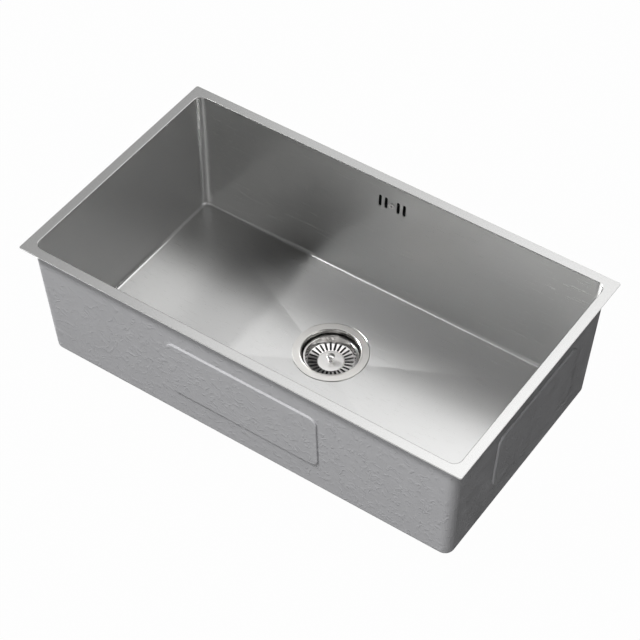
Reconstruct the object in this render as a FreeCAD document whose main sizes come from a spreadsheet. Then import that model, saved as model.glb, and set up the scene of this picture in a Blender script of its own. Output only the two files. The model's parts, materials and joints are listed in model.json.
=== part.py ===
"""Undermount kitchen sink with a basket strainer waste and an overflow.

Millimetres. The origin is the centre of the rim's top face, +X runs along the
length, +Y points to the wall with the overflow and +Z is up.
"""
import FreeCAD
import Part
import Sketcher
import math
import os
import re

# Driving dimensions, in millimetres and degrees
SIZES = {
    # pressed bowl
    "rim_length": 700,
    "rim_width": 400,
    "rim_flange": 15,
    "rim_corner_radius": 3,
    "rim_bend_radius": 1.2,
    "rim_edge_radius": 0.4,
    "sheet_gauge": 1.2,
    "bowl_depth": 200,
    "wall_draft": 3,
    "bowl_corner_radius": 12,
    "floor_radius": 5,
    "floor_fall": 5,
    "fold_lip": 2,
    "fold_offset": 15,
    "fold_hub": 6,
    "drain_offset": 33,
    "drain_hole_clearance": 1,
    "recess_clearance": 0.4,
    # overflow slots in the rear wall
    "overflow_drop": 36,
    "overflow_slot_height": 20,
    "overflow_slot_width": 5,
    "overflow_slot_pitch": 10,
    # sprayed undercoat
    "wall_coat": 3,
    "floor_coat": 1,
    "coat_top": 4,
    "coat_hole_radius": 60,
    "coat_window_gap": 3,
    # sound pads
    "pad_gauge": 3,
    "pad_drop": 52,
    "pad_foot": 49,
    "pad_corner_radius": 12,
    "pad_edge_radius": 1.6,
    "front_pad_length": 242,
    "front_pad_offset": 6,
    "side_pad_length": 198,
    "side_pad_offset": 16,
    "rear_pad_length": 180,
    "rear_pad_end": 160,
    "floor_pad_length": 150,
    "floor_pad_width": 120,
    "floor_pad_end": 130,
    # strainer cup with its flange
    "flange_radius": 55,
    "flange_gauge": 1.2,
    "flange_bevel": 0.4,
    "flange_rise": 2,
    "flange_bend_radius": 2,
    "lip_width": 3,
    "lip_height": 0.7,
    "lip_edge_radius": 0.5,
    "flange_seal_gauge": 1,
    "flange_seal_inset": 2,
    "cup_radius": 42,
    "cup_gauge": 1,
    "cup_shoulder": 16,
    "cup_throat": 26,
    "seat_depth": 30,
    "seat_radius": 37,
    "seat_width": 6,
    "cup_depth": 36,
    "grid_slots": 10,
    "grid_slot_width": 5,
    "grid_slot_length": 15,
    "grid_slot_inset": 2.5,
    # strainer basket
    "basket_radius": 39.8,
    "basket_drop": 8,
    "basket_rim_width": 3.2,
    "basket_rim_height": 2,
    "basket_rim_radius": 0.7,
    "basket_gauge": 0.8,
    "basket_height": 9.5,
    "basket_floor_radius": 33.5,
    "basket_dish": 2,
    "basket_disc_radius": 19.3,
    "basket_slots": 26,
    "basket_slot_width": 3.2,
    "basket_slot_inset": 0.6,
    # knob, stem and seal
    "knob_height": 11,
    "knob_radius": 5.6,
    "knob_cap": 2,
    "knob_crown": 0.9,
    "knob_dome_radius": 3.4,
    "knob_dome_height": 0.55,
    "knob_neck_radius": 2.6,
    "knob_neck_height": 2.6,
    "knob_foot_radius": 3.6,
    "knob_foot_height": 0.8,
    "knob_edge_radius": 0.5,
    "stem_radius": 2,
    "stem_grip": 7,
    "stem_groove": 0.5,
    "stem_tip": 3,
    "carrier_hub_radius": 7,
    "carrier_radius": 30,
    "carrier_gauge": 2,
    "seal_radius": 35,
    "seal_gauge": 3,
    "seal_lip": 1.5,
    "seal_clearance": 0.3,
    "seal_washer_radius": 6,
    "seal_washer_gauge": 1,
    "catch_gauge": 0.6,
    "catch_length": 4,
    "catch_slit": 1.2,
    "catch_clearance": 0.3,
    # clamp screw and its insert
    "screw_head_radius": 6.5,
    "screw_head_height": 4,
    "screw_radius": 4,
    "screw_length": 17,
    "screw_clearance": 0.3,
    "insert_radius": 5.6,
    "insert_length": 11,
    # waste body
    "body_seal_gauge": 3,
    "body_seal_inset": 1,
    "body_bore": 50,
    "body_wall": 3,
    "body_flange_radius": 57,
    "body_flange_gauge": 4,
    "body_depth": 43,
    "funnel_depth": 18,
    "outlet_radius": 23.9,
    "outlet_wall": 3.4,
    "outlet_length": 25,
    "hub_radius": 9,
    "hub_length": 18,
    "rib_count": 4,
    "rib_gauge": 3,
    "rib_height": 10,
    # pipe from the overflow to the waste
    "pipe_radius": 8,
    "pipe_wall": 1.5,
    "pipe_bend_radius": 36,
    "pipe_grip": 15,
    "pipe_clearance": 0.2,
    "spigot_wall": 2.3,
    "spigot_length": 24,
    "spigot_socket": 16,
    "spigot_drop": 28,
    "nut_wall": 2.6,
    "nut_reach": 12,
    "nut_floor": 3,
    "nut_ribs": 12,
    "nut_rib_width": 2,
    "nut_rib_height": 0.8,
    "pipe_seal_gauge": 4,
    # overflow housing
    "housing_length": 66,
    "housing_rise": 16,
    "housing_fall": 30,
    "housing_depth": 24,
    "housing_wall": 2.5,
    "housing_corner_radius": 9,
    "housing_edge_radius": 3,
    "housing_gap": 2,
    "gasket_gauge": 2,
    "boss_radius": 6.4,
    "overflow_screw_radius": 2.5,
    "overflow_screw_length": 16,
    "overflow_head_radius": 4.6,
    "overflow_head_height": 2.2,
    "overflow_head_edge": 1.2,
    "cross_length": 5,
    "cross_width": 1.1,
    "cross_depth": 1.2,
    "overflow_insert_radius": 4,
    "overflow_insert_length": 8,
    "overflow_insert_depth": 6,
}

# Lengths that follow from the driving dimensions
DERIVED = {
    # pressed bowl
    "opening_x": "rim_length / 2 - rim_flange",
    "opening_y": "rim_width / 2 - rim_flange",
    "skin": "sheet_gauge / cos(wall_draft)",
    "draft_run": "bowl_depth * tan(wall_draft)",
    "coat_skin": "(sheet_gauge + wall_coat) / cos(wall_draft)",
    "coat_floor": "sheet_gauge + floor_coat",
    "fold_x": "opening_x - draft_run - floor_radius - fold_lip",
    "fold_y": "opening_y - draft_run - floor_radius - fold_lip",
    "flange_level": "bowl_depth + floor_fall - flange_rise",
    "recess_depth": "flange_gauge + flange_seal_gauge",
    "recess_level": "flange_level + recess_depth",
    "recess_radius": "flange_radius + recess_clearance",
    "drain_hole": "cup_radius + cup_gauge + drain_hole_clearance",
    "overflow_wall": "opening_y + skin - overflow_drop * tan(wall_draft)",
    "overflow_screw_hole": "overflow_screw_radius + screw_clearance",
    # sound pads
    "pad_height": "(bowl_depth - pad_drop - pad_foot) / cos(wall_draft)",
    "pad_level": "(bowl_depth + pad_drop - pad_foot) / 2",
    "pad_run": "pad_level * tan(wall_draft)",
    "rear_pad_offset": "rim_length / 2 - rear_pad_end",
    "floor_pad_offset": "rim_length / 2 - floor_pad_end",
    "floor_tilt": "atan(floor_fall / (fold_x - fold_hub))",
    "floor_pad_level": "bowl_depth + coat_floor + (fold_x - floor_pad_offset) * tan(floor_tilt)",
    # strainer cup
    "cup_floor": "cup_depth + cup_gauge",
    "sump_radius": "seat_radius - seat_width",
    "cone_skin": "cup_gauge * (seat_radius - cup_radius) / (cup_shoulder - cup_throat)",
    "grid_slot_middle": "sump_radius - grid_slot_inset - grid_slot_length / 2",
    "screw_hole": "screw_radius + screw_clearance",
    # strainer basket
    "basket_rim_inner": "basket_radius - basket_rim_width",
    "basket_floor": "basket_drop + basket_height",
    "basket_disc": "basket_floor + basket_dish",
    "basket_under": "basket_disc + basket_gauge",
    "basket_slot_middle": "(basket_disc_radius + basket_floor_radius) / 2",
    "basket_slot_reach": "(basket_floor_radius - basket_disc_radius) / 2 - basket_slot_inset",
    # seal and stem
    "seal_under": "seat_depth - seal_clearance",
    "seal_top": "seal_under - seal_gauge",
    "carrier_top": "seal_top - carrier_gauge",
    "washer_under": "seal_under + seal_washer_gauge",
    "screw_head_top": "cup_depth - screw_head_height",
    "screw_bore": "stem_radius + catch_gauge",
    "catch_inner": "stem_radius - stem_groove + catch_clearance",
    "catch_outer": "screw_bore - catch_clearance",
    "catch_top": "cup_depth + catch_clearance",
    "catch_under": "catch_top + catch_length",
    "groove_top": "catch_top - catch_clearance",
    "groove_under": "catch_under + catch_clearance",
    "stem_under": "groove_under + stem_tip",
    "screw_bore_under": "stem_under + catch_clearance",
    "screw_under": "cup_depth + screw_length",
    # waste body
    "bowl_underside": "recess_depth + sheet_gauge",
    "body_top": "bowl_underside + body_seal_gauge",
    "body_radius": "body_bore + body_wall",
    "funnel_top": "body_top + body_depth",
    "outlet_top": "funnel_top + funnel_depth",
    "outlet_under": "outlet_top + outlet_length",
    "outlet_bore": "outlet_radius - outlet_wall",
    "hub_under": "cup_floor + hub_length",
    "rib_top": "funnel_top - rib_height",
    "insert_top": "hub_under - insert_length",
    "spigot_root": "body_bore + body_wall / 2",
    "spigot_mouth": "spigot_root + spigot_length",
    # pipe and its nuts
    "pipe_bore": "pipe_radius - pipe_wall",
    "spigot_bore": "pipe_radius + pipe_clearance",
    "spigot_radius": "spigot_bore + spigot_wall",
    "nut_bore": "spigot_radius + pipe_clearance",
    "nut_radius": "nut_bore + nut_wall",
    "nut_under": "pipe_seal_gauge + nut_floor",
    # overflow housing, measured from the outside of the rear wall
    "housing_back": "gasket_gauge + housing_depth",
    "spigot_axis": "nut_radius + nut_rib_height + housing_gap",
    "housing_mouth": "housing_fall + spigot_length",
    "pipe_start": "housing_mouth - pipe_grip",
    "insert_face": "gasket_gauge + overflow_insert_depth",
    "overflow_head_face": "sheet_gauge + overflow_head_height",
    # far end of the pipe, seen from the overflow
    "reach_y": "drain_offset + spigot_mouth - pipe_grip - overflow_wall",
    "reach_z": "overflow_drop - flange_level - spigot_drop",
    "pipe_end_y": "reach_y * cos(wall_draft) - reach_z * sin(wall_draft)",
    "pipe_end_z": "reach_y * sin(wall_draft) + reach_z * cos(wall_draft)",
    "elbow_z": "pipe_end_z + (spigot_axis - pipe_end_y) * tan(wall_draft)",
    "elbow_run": "pipe_bend_radius * tan(45 - wall_draft / 2)",
}

TOUCH = 0.01  # how near an edge must pass a point to be picked
SIGNS = ((1, 1), (-1, 1), (-1, -1), (1, -1))

doc = FreeCAD.newDocument("kitchen_sink")
sheet = doc.addObject("Spreadsheet::Sheet", "Sizes")
for row, (alias, number) in enumerate(SIZES.items(), 1):
    sheet.set(f"A{row}", alias)
    sheet.set(f"B{row}", str(number))
    sheet.setAlias(f"B{row}", alias)
doc.recompute()


def expand(formula):
    """Write a formula of named lengths as one that reads the sheet."""
    def swap(match):
        word = match.group(0)
        if word in SIZES:
            return f"Sizes.{word}"
        if word in DERIVED:
            return f"({expand(DERIVED[word])})"
        return word
    return re.sub(r"[a-z]\w*", swap, formula)


def value(formula):
    """The number that a formula of named lengths comes to."""
    return float(sheet.evalExpression(expand(formula)))


def bind(target, prop, formula):
    """Tie a property to a formula of named lengths."""
    target.setExpression(prop, expand(formula))


def point(x, y, z):
    """A point in space from three formulas."""
    return FreeCAD.Vector(value(x), value(y), value(z))


# Sketches

def own_plane(body, role):
    """One of a body's own three planes."""
    return next(item for item in body.Origin.OriginFeatures if item.Role == role)


def new_sketch(body, name, role, lift="0"):
    """A sketch on one of a body's own planes, lifted along the plane's normal."""
    sketch = body.newObject("Sketcher::SketchObject", f"{body.Name}_{name}")
    sketch.AttachmentSupport = [(own_plane(body, role), "")]
    sketch.MapMode = "FlatFace"
    if lift != "0":
        bind(sketch, "AttachmentOffset.Base.z", lift)
    return sketch


def fix_point(sketch, geometry, end, x, y):
    """Tie one point of a sketch to its two coordinates."""
    for kind, axis, place in (("DistanceX", -2, x), ("DistanceY", -1, y)):
        if place == "0":
            sketch.addConstraint(Sketcher.Constraint("PointOnObject", geometry, end, axis))
        else:
            rule = Sketcher.Constraint(kind, -1, 1, geometry, end, value(place))
            bind(sketch, f"Constraints[{sketch.addConstraint(rule)}]", place)


def fix_radius(sketch, geometry, radius):
    """Tie a circle's or an arc's radius to a formula."""
    rule = Sketcher.Constraint("Radius", geometry, value(radius))
    bind(sketch, f"Constraints[{sketch.addConstraint(rule)}]", radius)


def draw_polygon(sketch, corners):
    """A closed outline through corners, each a pair of formulas."""
    first = sketch.GeometryCount
    places = [point(x, y, "0") for x, y in corners]
    for start, end in zip(places, places[1:] + places[:1]):
        sketch.addGeometry(Part.LineSegment(start, end))
    for step, (x, y) in enumerate(corners):
        before = first + (step - 1) % len(corners)
        sketch.addConstraint(Sketcher.Constraint("Coincident", before, 2, first + step, 1))
        fix_point(sketch, first + step, 1, x, y)


def draw_rectangle(sketch, left, right, low, high):
    """An upright rectangle between four formulas."""
    draw_polygon(sketch, [(left, low), (right, low), (right, high), (left, high)])


def draw_centred_rectangle(sketch, half_x, half_y, middle_y="0"):
    """A rectangle centred on the sketch's upright axis."""
    low = f"{middle_y} - ({half_y})"
    high = f"{middle_y} + ({half_y})"
    draw_rectangle(sketch, f"-({half_x})", half_x, low, high)


def draw_circle(sketch, x, y, radius):
    """A circle at a pair of formulas."""
    shape = Part.Circle(point(x, y, "0"), FreeCAD.Vector(0, 0, 1), value(radius))
    index = sketch.addGeometry(shape)
    fix_point(sketch, index, 3, x, y)
    fix_radius(sketch, index, radius)


def draw_slot(sketch, ends, radius):
    """A slot with round ends between two points in line with one of the axes."""
    (x0, y0), (x1, y1) = ends
    start = point(x0, y0, "0")
    finish = point(x1, y1, "0")
    along = (finish - start).normalize()
    across = FreeCAD.Vector(-along.y, along.x, 0)
    reach = value(radius)
    first = sketch.GeometryCount
    sketch.addGeometry(Part.Arc(start + across * reach, start - along * reach, start - across * reach))
    sketch.addGeometry(Part.LineSegment(start - across * reach, finish - across * reach))
    sketch.addGeometry(Part.Arc(finish - across * reach, finish + along * reach, finish + across * reach))
    sketch.addGeometry(Part.LineSegment(finish + across * reach, start + across * reach))
    for index, (x, y) in ((first, (x0, y0)), (first + 2, (x1, y1))):
        fix_point(sketch, index, 3, x, y)
        fix_radius(sketch, index, radius)
    for arc, line, arc_end, line_end in ((0, 1, 2, 1), (2, 1, 1, 2), (2, 3, 2, 1), (0, 3, 1, 2)):
        sketch.addConstraint(Sketcher.Constraint("Tangent", first + arc, arc_end, first + line, line_end))


# Features

def new_body(label, placement=None):
    """An empty body, placed by a formula."""
    body = doc.addObject("PartDesign::Body", label)
    body.Label = label
    if placement:
        bind(body, "Placement", placement)
    return body


def pad(body, sketch, length, back=False):
    """Thicken a sketch along its normal, or against it."""
    feature = body.newObject("PartDesign::Pad", f"{sketch.Name}_pad")
    feature.Profile = sketch
    feature.Reversed = back
    bind(feature, "Length", length)
    return feature


def pocket(body, sketch, depth, back=False):
    """Cut a sketch against its normal, or along it, and make sure that it cuts."""
    doc.recompute()
    before = body.Shape.Volume
    feature = body.newObject("PartDesign::Pocket", f"{sketch.Name}_pocket")
    feature.Profile = sketch
    feature.Reversed = back
    bind(feature, "Length", depth)
    doc.recompute()
    if body.Shape.Volume >= before:
        raise RuntimeError(f"{feature.Name} cuts nothing")
    return feature


def revolve(body, sketch, kind="Revolution"):
    """Turn a sketch round its upright axis."""
    feature = body.newObject(f"PartDesign::{kind}", f"{sketch.Name}_turn")
    feature.Profile = sketch
    feature.ReferenceAxis = (sketch, ["V_Axis"])
    feature.Angle = 360
    return feature


def turned(label, corners, placement=None, role="XZ_Plane"):
    """A body turned from one closed outline of (radius, height) corners."""
    body = new_body(label, placement)
    sketch = new_sketch(body, "section", role)
    draw_polygon(sketch, corners)
    revolve(body, sketch)
    return body


def loft(body, sketches, kind):
    """Straight-sided loft from the first sketch to the last."""
    feature = body.newObject(f"PartDesign::{kind}", f"{sketches[0].Name}_loft")
    feature.Profile = sketches[0]
    feature.Sections = sketches[1:]
    feature.Ruled = True
    return feature


def repeat(body, feature, count):
    """Repeat a feature round the body's upright axis."""
    ring = body.newObject("PartDesign::PolarPattern", f"{feature.Name}_ring")
    ring.Originals = [feature]
    ring.Axis = (feature.Profile[0], ["N_Axis"])
    ring.Angle = 360
    bind(ring, "Occurrences", count)
    body.Tip = ring
    return ring


def round_edges(body, radius, places, name="round"):
    """Round the edges of a body that pass through the given points."""
    doc.recompute()
    base = body.Tip
    marks = [Part.Vertex(place) for place in places]
    names = []
    for index, edge in enumerate(base.Shape.Edges, 1):
        if any(edge.distToShape(mark)[0] < TOUCH for mark in marks):
            names.append(f"Edge{index}")
    if not names:
        raise RuntimeError(f"{body.Label}: no edge to round for {name}")
    feature = body.newObject("PartDesign::Fillet", f"{body.Name}_{name}")
    feature.Base = (base, names)
    bind(feature, "Radius", radius)
    return feature


def corners_at(x, y, z):
    """The four points at plus and minus x and y."""
    return [point(f"{sign_x} * ({x})", f"{sign_y} * ({y})", z) for sign_x, sign_y in SIGNS]


# Pressed bowl

def make_bowl():
    """Rim, drafted walls, folded floor, waste recess and overflow slots in one sheet."""
    body = new_body("bowl")
    rim = new_sketch(body, "rim", "XY_Plane")
    draw_centred_rectangle(rim, "rim_length / 2", "rim_width / 2")
    pad(body, rim, "sheet_gauge", back=True)
    rim_corners = corners_at("rim_length / 2", "rim_width / 2", "-sheet_gauge / 2")
    round_edges(body, "rim_corner_radius", rim_corners, "rim_corners")
    bowl_form(body, "skin", "sheet_gauge")
    recess_boss(body)
    hollow_out(body, "0", "0")
    recess_cut(body)
    overflow_slots(body)
    round_edges(body, "rim_bend_radius", [point("0", "-opening_y", "0")], "rim_bend")
    under_bend = point("0", "-(opening_y + skin - sheet_gauge * tan(wall_draft))", "-sheet_gauge")
    round_edges(body, "rim_bend_radius - sheet_gauge / 2", [under_bend], "rim_under_bend")
    round_edges(body, "rim_edge_radius", [point("0", "-rim_width / 2", "0")], "rim_edge")
    return body


def hollow_out(body, grow, gauge):
    """Cut a bowl form out of a body."""
    hollow = new_body(f"{body.Label}_hollow")
    bowl_form(hollow, grow, gauge)
    cut = body.newObject("PartDesign::Boolean", f"{hollow.Name}_cut")
    cut.setObjects([hollow])
    cut.Type = "Cut"
    return cut


def draft_walls(body, depth):
    """Lean the upright faces that reach down to the depth, so that they draw in towards the foot."""
    doc.recompute()
    base = body.Tip
    foot = -value(depth)
    names = []
    for index, face in enumerate(base.Shape.Faces, 1):
        box = face.BoundBox
        if box.ZLength > -foot / 2 and abs(box.ZMin - foot) < TOUCH:
            names.append(f"Face{index}")
    feature = body.newObject("PartDesign::Draft", f"{body.Name}_draft")
    feature.Base = (base, names)
    feature.NeutralPlane = (own_plane(body, "XY_Plane"), [""])
    bind(feature, "Angle", "wall_draft")
    doc.recompute()
    if feature.Shape.Volume > base.Shape.Volume:
        feature.Reversed = True
    return feature


def bowl_form(body, grow, gauge):
    """The drafted box with round corners, round foot and folded floor, outside or inside the sheet."""
    half_x = f"opening_x + {grow}"
    half_y = f"opening_y + {grow}"
    depth = f"(bowl_depth + {gauge})"
    run = f"{depth} * tan(wall_draft)"
    outline = new_sketch(body, "outline", "XY_Plane")
    draw_centred_rectangle(outline, half_x, half_y)
    pad(body, outline, depth, back=True)
    draft_walls(body, depth)
    corners = corners_at(f"{half_x} - {run} / 2", f"{half_y} - {run} / 2", f"-{depth} / 2")
    round_edges(body, f"bowl_corner_radius + {gauge}", corners, "corners")
    foot = point("0", f"-({half_y} - {run})", f"-{depth}")
    round_edges(body, f"floor_radius + {gauge}", [foot], "foot")
    upper = new_sketch(body, "floor_edge", "XY_Plane", f"-{depth}")
    draw_centred_rectangle(upper, "fold_x", "fold_y")
    lower = new_sketch(body, "floor_hub", "XY_Plane", f"-({depth} + floor_fall)")
    draw_centred_rectangle(lower, "fold_hub", "fold_hub / 2", "fold_offset")
    loft(body, [upper, lower], "AdditiveLoft")


def waste_section(body, name):
    """A sketch on the upright plane through the waste's axis."""
    return new_sketch(body, name, "XZ_Plane", "-drain_offset")


def recess_boss(body):
    """The pressed step that stands out under the floor round the waste."""
    section = waste_section(body, "boss")
    draw_polygon(section, [
        ("0", "-bowl_depth"),
        ("recess_radius + floor_fall + 2 * sheet_gauge", "-bowl_depth"),
        ("recess_radius + sheet_gauge", "-(flange_level + sheet_gauge)"),
        ("recess_radius + sheet_gauge", "-(recess_level + sheet_gauge)"),
        ("0", "-(recess_level + sheet_gauge)"),
    ])
    return revolve(body, section)


def recess_cut(body):
    """The seat of the waste flange, with the hole for the strainer cup."""
    section = waste_section(body, "recess")
    draw_polygon(section, [
        ("0", "-bowl_depth"),
        ("recess_radius + floor_fall", "-bowl_depth"),
        ("recess_radius", "-flange_level"),
        ("recess_radius", "-recess_level"),
        ("drain_hole", "-recess_level"),
        ("drain_hole", "-(recess_level + 2 * sheet_gauge)"),
        ("0", "-(recess_level + 2 * sheet_gauge)"),
    ])
    return revolve(body, section, "Groove")


def overflow_slots(body):
    """Upright slots and a screw hole through the rear wall."""
    sketch = new_sketch(body, "slots", "XZ_Plane")
    half = "(overflow_slot_height - overflow_slot_width) / 2"
    for step in (-2, -1, 1, 2):
        across = f"{step} * overflow_slot_pitch"
        draw_slot(sketch, [(across, f"-overflow_drop - {half}"), (across, f"-overflow_drop + {half}")],
                  "overflow_slot_width / 2")
    draw_circle(sketch, "0", "-overflow_drop", "overflow_screw_hole")
    return pocket(body, sketch, "rim_width / 2")


# Undercoat and sound pads

def make_undercoat():
    """Sprayed coat on the outside of the bowl, left open round the waste and behind the overflow."""
    body = new_body("undercoat")
    bowl_form(body, "coat_skin", "coat_floor")
    hollow_out(body, "skin", "sheet_gauge")
    upper = new_sketch(body, "upper_edge", "XY_Plane")
    draw_centred_rectangle(upper, "rim_length / 2", "rim_width / 2")
    pocket(body, upper, "coat_top")
    hole = new_sketch(body, "waste_hole", "XY_Plane")
    draw_circle(hole, "0", "drain_offset", "coat_hole_radius")
    pocket(body, hole, "bowl_depth + floor_fall + 2 * coat_floor")
    window = new_sketch(body, "overflow_window", "XZ_Plane")
    half = "housing_length / 2 + coat_window_gap"
    draw_rectangle(window, f"-({half})", half,
                   "-overflow_drop - housing_mouth - nut_under - coat_window_gap",
                   "-overflow_drop + housing_rise + coat_window_gap")
    pocket(body, window, "rim_width / 2")
    return body


def sound_pad(label, length, height, placement):
    """A rounded flat pad stuck on the undercoat."""
    body = new_body(label, placement)
    outline = new_sketch(body, "outline", "XY_Plane")
    draw_centred_rectangle(outline, f"{length} / 2", f"{height} / 2")
    pad(body, outline, "pad_gauge")
    corners = corners_at(f"{length} / 2", f"{height} / 2", "pad_gauge / 2")
    round_edges(body, "pad_corner_radius", corners, "corners")
    edge = point("0", f"-{height} / 2", "pad_gauge")
    round_edges(body, "pad_edge_radius", [edge], "edge")
    return body


def make_sound_pads():
    """Pads on the four walls and on the floor's two long falls."""
    lean = "rotationx(90 + wall_draft)"
    wall_y = "(opening_y + coat_skin - pad_run)"
    wall_x = "(opening_x + coat_skin - pad_run)"
    walls = [
        ("front_sound_pad", "front_pad_length", f"front_pad_offset; -{wall_y}", 0),
        ("right_sound_pad", "side_pad_length", f"{wall_x}; side_pad_offset", 90),
        ("left_sound_pad", "side_pad_length", f"-{wall_x}; side_pad_offset", 270),
        ("rear_left_sound_pad", "rear_pad_length", f"-rear_pad_offset; {wall_y}", 180),
        ("rear_right_sound_pad", "rear_pad_length", f"rear_pad_offset; {wall_y}", 180),
    ]
    pads = []
    for label, length, place, turn in walls:
        placement = f"placement(vector({place}; -pad_level); rotationz({turn}) * {lean})"
        pads.append(sound_pad(label, length, "pad_height", placement))
    for label, side in (("floor_left_sound_pad", "-"), ("floor_right_sound_pad", "")):
        placement = (f"placement(vector({side}floor_pad_offset; fold_offset; -floor_pad_level); "
                     f"rotationy(180 deg - {side}(floor_tilt)))")
        pads.append(sound_pad(label, "floor_pad_length", "floor_pad_width", placement))
    return pads


# Waste, measured down from the top of its flange

WASTE = "placement(vector(0; drain_offset; -flange_level); rotationx(0))"


def make_waste_flange():
    """Pressed strainer cup: flange with a raised lip, tapered wall, seat for the seal and slotted sump."""
    body = turned("waste_flange", [
        ("flange_radius", "-flange_gauge"),
        ("flange_radius", "-flange_gauge / 2"),
        ("flange_radius - flange_bevel", "0"),
        ("cup_radius + lip_width", "0"),
        ("cup_radius + lip_width", "lip_height"),
        ("cup_radius", "lip_height"),
        ("cup_radius", "-cup_shoulder"),
        ("seat_radius", "-cup_throat"),
        ("seat_radius", "-seat_depth"),
        ("sump_radius", "-seat_depth"),
        ("sump_radius", "-cup_depth"),
        ("screw_hole", "-cup_depth"),
        ("screw_hole", "-cup_floor"),
        ("sump_radius + cup_gauge", "-cup_floor"),
        ("sump_radius + cup_gauge", "-seat_depth - cup_gauge"),
        ("seat_radius + cup_gauge", "-seat_depth - cup_gauge"),
        ("seat_radius + cup_gauge", "-cup_throat - cone_skin"),
        ("cup_radius + cup_gauge", "-cup_shoulder - cone_skin"),
        ("cup_radius + cup_gauge", "-flange_gauge"),
    ], WASTE)
    round_edges(body, "flange_bend_radius", [point("cup_radius", "0", "lip_height")], "bend")
    round_edges(body, "lip_edge_radius", [point("cup_radius + lip_width", "0", "lip_height")], "lip_edge")
    grid = new_sketch(body, "grid", "XY_Plane", "-cup_depth")
    half = "(grid_slot_length - grid_slot_width) / 2"
    draw_slot(grid, [(f"grid_slot_middle - {half}", "0"), (f"grid_slot_middle + {half}", "0")],
              "grid_slot_width / 2")
    repeat(body, pocket(body, grid, "2 * cup_gauge"), "grid_slots")
    return body


def make_flange_seal():
    """Flat washer under the waste flange."""
    inner = "drain_hole"
    outer = "flange_radius - flange_seal_inset"
    return turned("flange_seal", [
        (inner, "-flange_gauge"),
        (inner, "-recess_depth"),
        (outer, "-recess_depth"),
        (outer, "-flange_gauge"),
    ], WASTE)


def make_body_seal():
    """Ring between the underside of the bowl and the waste body."""
    outer = "body_flange_radius - body_seal_inset"
    return turned("body_seal", [
        ("body_bore", "-bowl_underside"),
        ("body_bore", "-body_top"),
        (outer, "-body_top"),
        (outer, "-bowl_underside"),
    ], WASTE)


def make_waste_body():
    """Moulded body: flange, funnel, threaded outlet, ribbed hub and overflow spigot."""
    body = turned("waste_body", [
        ("body_bore", "-body_top"),
        ("body_bore", "-funnel_top"),
        ("outlet_bore", "-outlet_top"),
        ("outlet_bore", "-outlet_under"),
        ("outlet_radius", "-outlet_under"),
        ("outlet_radius", "-outlet_top - body_wall / 2"),
        ("body_radius", "-funnel_top - body_wall / 2"),
        ("body_radius", "-body_top - body_flange_gauge"),
        ("body_flange_radius", "-body_top - body_flange_gauge"),
        ("body_flange_radius", "-body_top"),
    ], WASTE)
    rib = new_sketch(body, "rib", "XY_Plane", "-rib_top")
    draw_rectangle(rib, "insert_radius + body_wall / 2", "spigot_root", "-rib_gauge / 2", "rib_gauge / 2")
    repeat(body, pad(body, rib, "rib_height", back=True), "rib_count")
    hub = new_sketch(body, "hub", "XZ_Plane")
    draw_polygon(hub, [
        ("screw_hole", "-cup_floor"),
        ("hub_radius", "-cup_floor"),
        ("hub_radius", "-hub_under"),
        ("insert_radius", "-hub_under"),
        ("insert_radius", "-insert_top"),
        ("screw_hole", "-insert_top"),
    ])
    body.Tip = revolve(body, hub)
    spigot = new_sketch(body, "spigot", "XZ_Plane", "-spigot_root")
    draw_circle(spigot, "0", "-spigot_drop", "spigot_radius")
    pad(body, spigot, "spigot_length", back=True)
    spigot_bores(body, "XZ_Plane", "-spigot_mouth", "-spigot_drop", "spigot_length + 2 * body_wall", True)
    return body


def spigot_bores(body, role, mouth, height, reach, back):
    """The pipe's socket in a spigot's mouth, and the waterway behind it."""
    socket = new_sketch(body, "socket", role, mouth)
    draw_circle(socket, "0", height, "spigot_bore")
    pocket(body, socket, "spigot_socket", back=back)
    waterway = new_sketch(body, "waterway", role, mouth)
    draw_circle(waterway, "0", height, "pipe_bore")
    pocket(body, waterway, reach, back=back)


def make_clamp_screw():
    """Screw with a hollow head, which draws the cup down on the waste body."""
    return turned("clamp_screw", [
        ("screw_bore", "-screw_head_top"),
        ("screw_head_radius", "-screw_head_top"),
        ("screw_head_radius", "-cup_depth"),
        ("screw_radius", "-cup_depth"),
        ("screw_radius", "-screw_under"),
        ("0", "-screw_under"),
        ("0", "-screw_bore_under"),
        ("screw_bore", "-screw_bore_under"),
    ], WASTE)


def make_body_insert():
    """Threaded insert in the waste body's hub."""
    return turned("body_insert", [
        ("screw_radius", "-insert_top"),
        ("insert_radius", "-insert_top"),
        ("insert_radius", "-hub_under"),
        ("screw_radius", "-hub_under"),
    ], WASTE)


# Strainer basket with its plug

def make_strainer_basket():
    """Pressed basket with a rolled rim and a ring of radial slots."""
    body = turned("strainer_basket", [
        ("basket_rim_inner", "-basket_drop"),
        ("basket_radius", "-basket_drop"),
        ("basket_radius", "-basket_drop - basket_rim_height"),
        ("basket_rim_inner + basket_gauge / 2", "-basket_drop - basket_rim_height"),
        ("basket_floor_radius + basket_gauge", "-basket_floor - basket_gauge"),
        ("basket_disc_radius", "-basket_under"),
        ("stem_radius", "-basket_under"),
        ("stem_radius", "-basket_disc"),
        ("basket_disc_radius", "-basket_disc"),
        ("basket_floor_radius", "-basket_floor"),
    ], WASTE)
    rim = [point(radius, "0", "-basket_drop") for radius in ("basket_rim_inner", "basket_radius")]
    round_edges(body, "basket_rim_radius", rim, "rim")
    slot = new_sketch(body, "slot", "XY_Plane", "-basket_drop")
    half = "basket_slot_reach - basket_slot_width / 2"
    draw_slot(slot, [(f"basket_slot_middle - ({half})", "0"), (f"basket_slot_middle + ({half})", "0")],
              "basket_slot_width / 2")
    repeat(body, pocket(body, slot, "basket_height + basket_dish + 2 * basket_gauge"), "basket_slots")
    return body


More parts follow.
